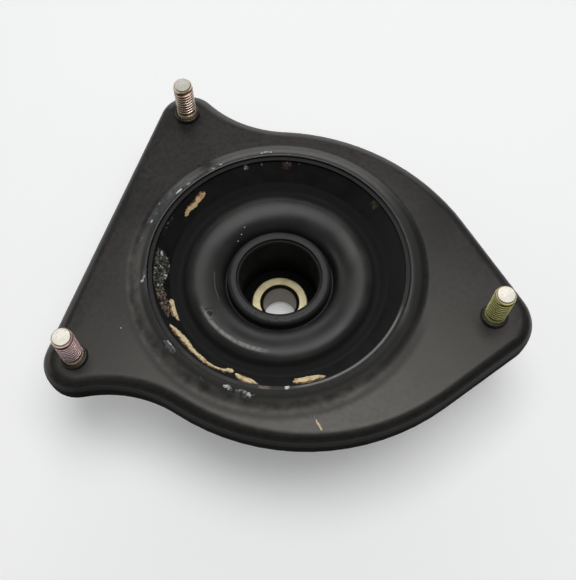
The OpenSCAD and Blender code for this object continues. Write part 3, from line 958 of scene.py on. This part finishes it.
mm_per_degree, mm_down = 0.82, 1.41
margin = 0.4
for name, stations in flake_outlines.items():
    first, last = stations[0][0], stations[-1][0]
    low, high = min(s[1] for s in stations) - margin, max(s[2] for s in stations) + margin
    spans = ((first, last, (last - first) * mm_per_degree), (low, high, (high - low) * mm_down))
    for ending, share, rag, thickness, film in flake_layers:
        keep = torn_outline(stations, share, rag)
        torn_skin(name + ending, spans, on_flare, keep, thickness, fine_cell, films[film])

# %% [markdown]
# On the far left a crust of old adhesive and grit sticks to the flare. It is the same kind of
# thin skin, but lacy: faces stay only where noise is high enough. Its colour runs from
# olive grey to the white of single grains, and it is brown at its lower end.

# %% Crust of adhesive and grit
crust_outline = [
    (187.5, 0.6, 2.6), (190, 0.2, 4.6), (194, 0.2, 5.6), (198, 0.3, 5.5), (202, 0.3, 4.4), (206, 0.4, 3.4),
    (211, 0.8, 4.2), (217, 1.2, 4.4), (221, 1.6, 3.4), (224, 2.0, 2.6),
]
crust_spans = ((187.5, 224, 30), (0.0, 6.0, 8.4))


def crusted(angle, down):
    """Says whether the crust covers a place: inside its outline, and not in one of its holes."""
    grain = noise.fractal(Vector((angle * 1.3, down * 1.6, 7.0)), 0.9, 2.0, 4)
    edges = between(crust_outline, angle + grain)
    return edges is not None and edges[0] + 0.5 * grain < down < edges[1] + 0.6 * grain and grain > -0.2


grit, tree, place = start_material("weathered_adhesive_crust")
share = angle_and_radius(tree, place)[0]
colour, rough, tone = mottled(tree, place, 1.4, 5.0, ("1d1d19", "5a584e"), 0.36, 0.62, (0.5, 0.75))
white = torn(tree, place, 1.7, 3.0, 0.57, 0.68)
lower_end = arcs_mask(tree, share, [(210, 224, 0.8)], 4.0)
browned = overlap(tree, lower_end, torn(tree, place, 1.4, 5.0, 0.3, 0.6))
colour = painted(tree, colour, [(white, "cfcec4"), (browned, "6b5745")])
finish_surface(tree, colour, rough, tone, 0.2, 0.4)
torn_skin("adhesive_crust", crust_spans, on_flare, crusted, 0.14, 0.16, grit)

# %% [markdown]
# Round the outside of the rim the coat is scraped through in many small places. The list
# gives each place as angle, distance, half length and half width. Faces of one long grid stay
# inside these ovals, with ragged edges. One more scrape lies apart from them on the plate. The
# steel below is a mottled grey with broad pale glints.

# %% Scrapes on the rim
scrapes = [
    (136.7, 52.6, 4.2, 0.9), (139.7, 51.9, 2.5, 0.6), (113.8, 52.5, 2.6, 0.7), (103.6, 51.3, 0.9, 0.5),
    (125.7, 55.2, 0.7, 0.5), (124.0, 51.3, 0.6, 0.4), (149.8, 51.3, 1.0, 0.4), (152.9, 52.1, 1.6, 0.5),
    (157.6, 52.4, 2.6, 0.5), (161.6, 54.3, 2.2, 0.8), (166.6, 56.2, 1.8, 0.5), (171.8, 54.3, 1.2, 0.7),
    (176.4, 54.2, 0.9, 0.5), (184.8, 55.4, 1.8, 0.6), (202.4, 51.5, 1.6, 0.7), (201.9, 54.9, 0.9, 0.7),
    (205.1, 52.6, 1.0, 0.8), (208.1, 54.9, 0.8, 0.4), (238.2, 52.3, 3.2, 1.3), (257.0, 53.6, 1.2, 0.5),
    (267.6, 52.5, 1.7, 0.8), (273.9, 53.2, 4.4, 1.2), (299.5, 60.6, 1.3, 0.9),
]
rim_start, rim_width, rim_rise = 51.2, 7.0, 2.6
rim_mm_per_degree = 0.92
scrape_spans = {
    "rim_scrapes": ((101, 282, 168), (51.25, 57.2, 6)),
    "plate_scrape": ((297, 302, 5.3), (59.0, 62.2, 3.2)),
}


def on_rim(angle, radius):
    """A point just over the raised rim, whose section is half a cosine wave."""
    share = min(1, max(0, (radius - rim_start) / rim_width))
    return around(angle, radius, rim_rise / 2 * (1 + math.cos(math.pi * share)) + 0.01)


def scraped(angle, radius):
    """Says whether a place lies in one of the ragged ovals."""
    ragged = noise.fractal(Vector((angle * 1.1, radius * 1.3, 1.0)), 0.9, 2.0, 4)
    for a, r, half, width in scrapes:
        along = (angle - a) * rim_mm_per_degree / half
        across = (radius - r) / width
        if abs(along) < 2 and 1 - along**2 - across**2 + 0.8 * ragged > 0.15:
            return True
    return False


scraped_steel, tree, place = start_material("scraped_phosphated_steel", {"Metallic": 0.2})
colour, rough, tone = mottled(tree, place, 1.5, 5.0, ("242526", "5c6164"), 0.34, 0.66, (0.42, 0.6))
colour = painted(tree, colour, [(torn(tree, place, 3.0, 2.0, 0.50, 0.70), "c9cac4")])
finish_surface(tree, colour, rough, tone, 0.04, 0.3)
for name, spans in scrape_spans.items():
    torn_skin(name, spans, on_rim, scraped, 0.02, fine_cell, scraped_steel)

# %% [markdown]
# A curled sliver of pale sealant lies on the near side of the plate. It is a narrow grid along
# a bent path, and its width swells in the middle and wavers a little. It is the same brittle
# stuff as the flakes, so it takes their finish.

# %% Sliver on the plate
sliver_path = [(31.3, -53.6), (31.9, -54.5), (32.9, -55.2), (33.7, -56.0), (34.4, -56.8)]


def on_path(along, across):
    """A point beside the bent path, on the plate's top."""
    place = min(along, 0.9999) * (len(sliver_path) - 1)
    index = int(place)
    (x0, y0), (x1, y1) = sliver_path[index : index + 2]
    share = place - index
    step = Vector((x1 - x0, y1 - y0)).normalized()
    x = x0 + share * (x1 - x0) - step.y * across
    y = y0 + share * (y1 - y0) + step.x * across
    return Vector((x * mm, y * mm, plate_top + 0.01 * mm))


def slim(along, across):
    """Says whether a place lies within the sliver's wavering width."""
    half = 0.16 + 0.22 * math.sin(math.pi * along) + 0.10 * noise.noise(Vector((along * 9, 0, 0)))
    return abs(across) < half


sliver_spans = ((0, 1, 4.0), (-0.5, 0.5, 1.0))
torn_skin("sealant_sliver", sliver_spans, on_path, slim, 0.12, 0.1, films["bonding_agent_film"])

# %% [markdown]
# Grains of quartz grit stick to the rubber's inner slope, and one lies on the plate. A grain
# starts as an ico sphere, is flattened and dented by noise, and is then copied to each place.
# On the slope its height follows from the slope's own curve.

# %% Grains of grit
grain_places = [(153.5, 23.4), (147.0, 24.4), (141.0, 25.8), (221.2, 64.1)]
grain_r, dent_size = 0.26 * mm, 0.2 * mm
bpy.ops.mesh.primitive_ico_sphere_add(subdivisions=2, radius=grain_r)
grain = bpy.context.object
bpy.ops.transform.resize(value=(1.2, 0.9, 0.6))
bpy.ops.object.transform_apply(scale=True)
for vertex in grain.data.vertices:
    vertex.co *= 1 + 0.35 * noise.noise(vertex.co / dent_size)
quartz, tree, place = start_material("quartz_grit")
colour, rough, tone = mottled(tree, place, 0.4, 3.0, ("e2e2da", "a9a79c"), 0.35, 0.65, (0.4, 0.6))
finish_surface(tree, colour, rough, tone, 0.05)


def slope_z(radius):
    """Height of the rubber's inner slope at a distance from the axis, and 0 on the plate."""
    across = min(1, max(0, (crest_r - radius) / slope_w))
    return crest_z - slope_h * (1 - math.sqrt(1 - across**2)) if radius < crest_r else 0


for index, (angle, radius) in enumerate(grain_places):
    lump = copied(grain.data, "grit_grain_" + str(index + 1))
    for vertex in lump.data.vertices:
        vertex.co += around(angle, radius, 0.06 + slope_z(radius))
    lump.data.materials.append(quartz)
    belongs(lump, "housing")
    print(lump.name, "at height", round(slope_z(radius), 2), "mm over the plate")
bpy.data.objects.remove(grain)

# %% [markdown]
# The part lies on a plain pale floor. The floor glows a little for the camera and for mirror
# rays only, which whitens the background and leaves both the shadow and the light on the part
# as they are.

# %% Floor
bpy.ops.mesh.primitive_plane_add(size=6, location=(0, 0, floor_z))
floor = bpy.context.object
floor.name = "studio_floor"
glow = {"Roughness": 0.9, "Emission Color": linear("ffffff")}
paper, tree, place = start_material("studio_paper", glow)
fibres = add(tree, "TexNoise", {"Vector": place, "Scale": per_mm(60), "Detail": 2.0})
shader = tree.nodes["Principled BSDF"].inputs
tree.links.new(painted(tree, linear("f1f1f1"), [(fibres, "f3f3f3")]), shader["Base Color"])
ray = add(tree, "LightPath", {}).node.outputs
watched = ray["Is Camera Ray"]
for kind in ("Is Glossy Ray", "Is Transmission Ray"):
    watched = add(tree, "Math", {0: watched, 1: ray[kind]}, operation="MAXIMUM")
tree.links.new(overlap(tree, watched, 0.20), shader["Emission Strength"])
floor.data.materials.append(paper)
print("floor at", round(floor_z / mm, 2), "mm")


# %% [markdown]
# One soft box hangs almost straight above the part, so the near half of the plate mirrors the
# box and shines, and the far half mirrors the dark ceiling. Two dim upright panels, behind and
# to the left, draw the bright line on the back of the rim. Their places are given along the
# camera's own directions, away from it and aside.

# %% Soft box, panels and fill
part_middle = Vector((0, 0, 30)) * mm


def soft_light(name, width, depth, watts, location):
    """A rectangle of light that faces the part."""
    lamp = bpy.data.lights.new(name, "AREA")
    lamp.shape = "RECTANGLE"
    lamp.size = width
    lamp.size_y = depth
    lamp.energy = watts
    made = bpy.data.objects.new(name, lamp)
    made.location = location
    aim = part_middle - location
    made.rotation_euler = aim.to_track_quat("-Z", "Y").to_euler()
    bpy.context.collection.objects.link(made)
    print(name, "at", [round(c, 3) for c in location])


view_turn = math.radians(17.81)
away = Vector((-math.sin(view_turn), math.cos(view_turn), 0))
aside = Vector((math.cos(view_turn), math.sin(view_turn), 0))
up = Vector((0, 0, 1))
soft_light("soft_box", 0.80, 0.60, 6.2, away * 0.08 + aside * 0.09 + up)
soft_light("back_panel", 2.0, 0.9, 9.0, away * 1.6 + up * 0.5)
soft_light("left_panel", 1.4, 0.6, 4.0, away * 0.4 - aside * 1.5 + up * 0.35)
world = bpy.data.worlds.new("fill")
bpy.context.scene.world = world
world.use_nodes = True
fill = world.node_tree.nodes["Background"].inputs
fill["Color"].default_value = linear("e8ebee")
fill["Strength"].default_value = 0.18

# %% [markdown]
# The camera stands where the picture was taken from, about 300 mm from the part and 64 degrees
# above the floor. Its focal length follows from how strongly the near edge is enlarged, and
# the view is centred with no shift.

# %% Camera
image_width = 576
focal_pixels = 789.2
target = Vector((6.28, -8.19, 39.5)) * mm
distance = 301.25 * mm
raised = math.radians(64.24)
camera_data = bpy.data.cameras.new("camera")
camera_data.sensor_fit = "HORIZONTAL"
camera_data.sensor_width = 36
camera_data.lens = focal_pixels * camera_data.sensor_width / image_width
camera_data.clip_start = 0.01
camera = bpy.data.objects.new("camera", camera_data)
back = up * math.sin(raised) - away * math.cos(raised)
camera.location = target + back * distance
camera.rotation_euler = (-back).to_track_quat("-Z", "Y").to_euler()
bpy.context.collection.objects.link(camera)
bpy.context.scene.camera = camera
bpy.context.scene.view_settings.view_transform = "Standard"
print("camera at", [round(c, 4) for c in camera.location], "lens", round(camera_data.lens, 2))

# %% [markdown]
# Last, the script prints one closing line.

# %% Finish
print("finished")
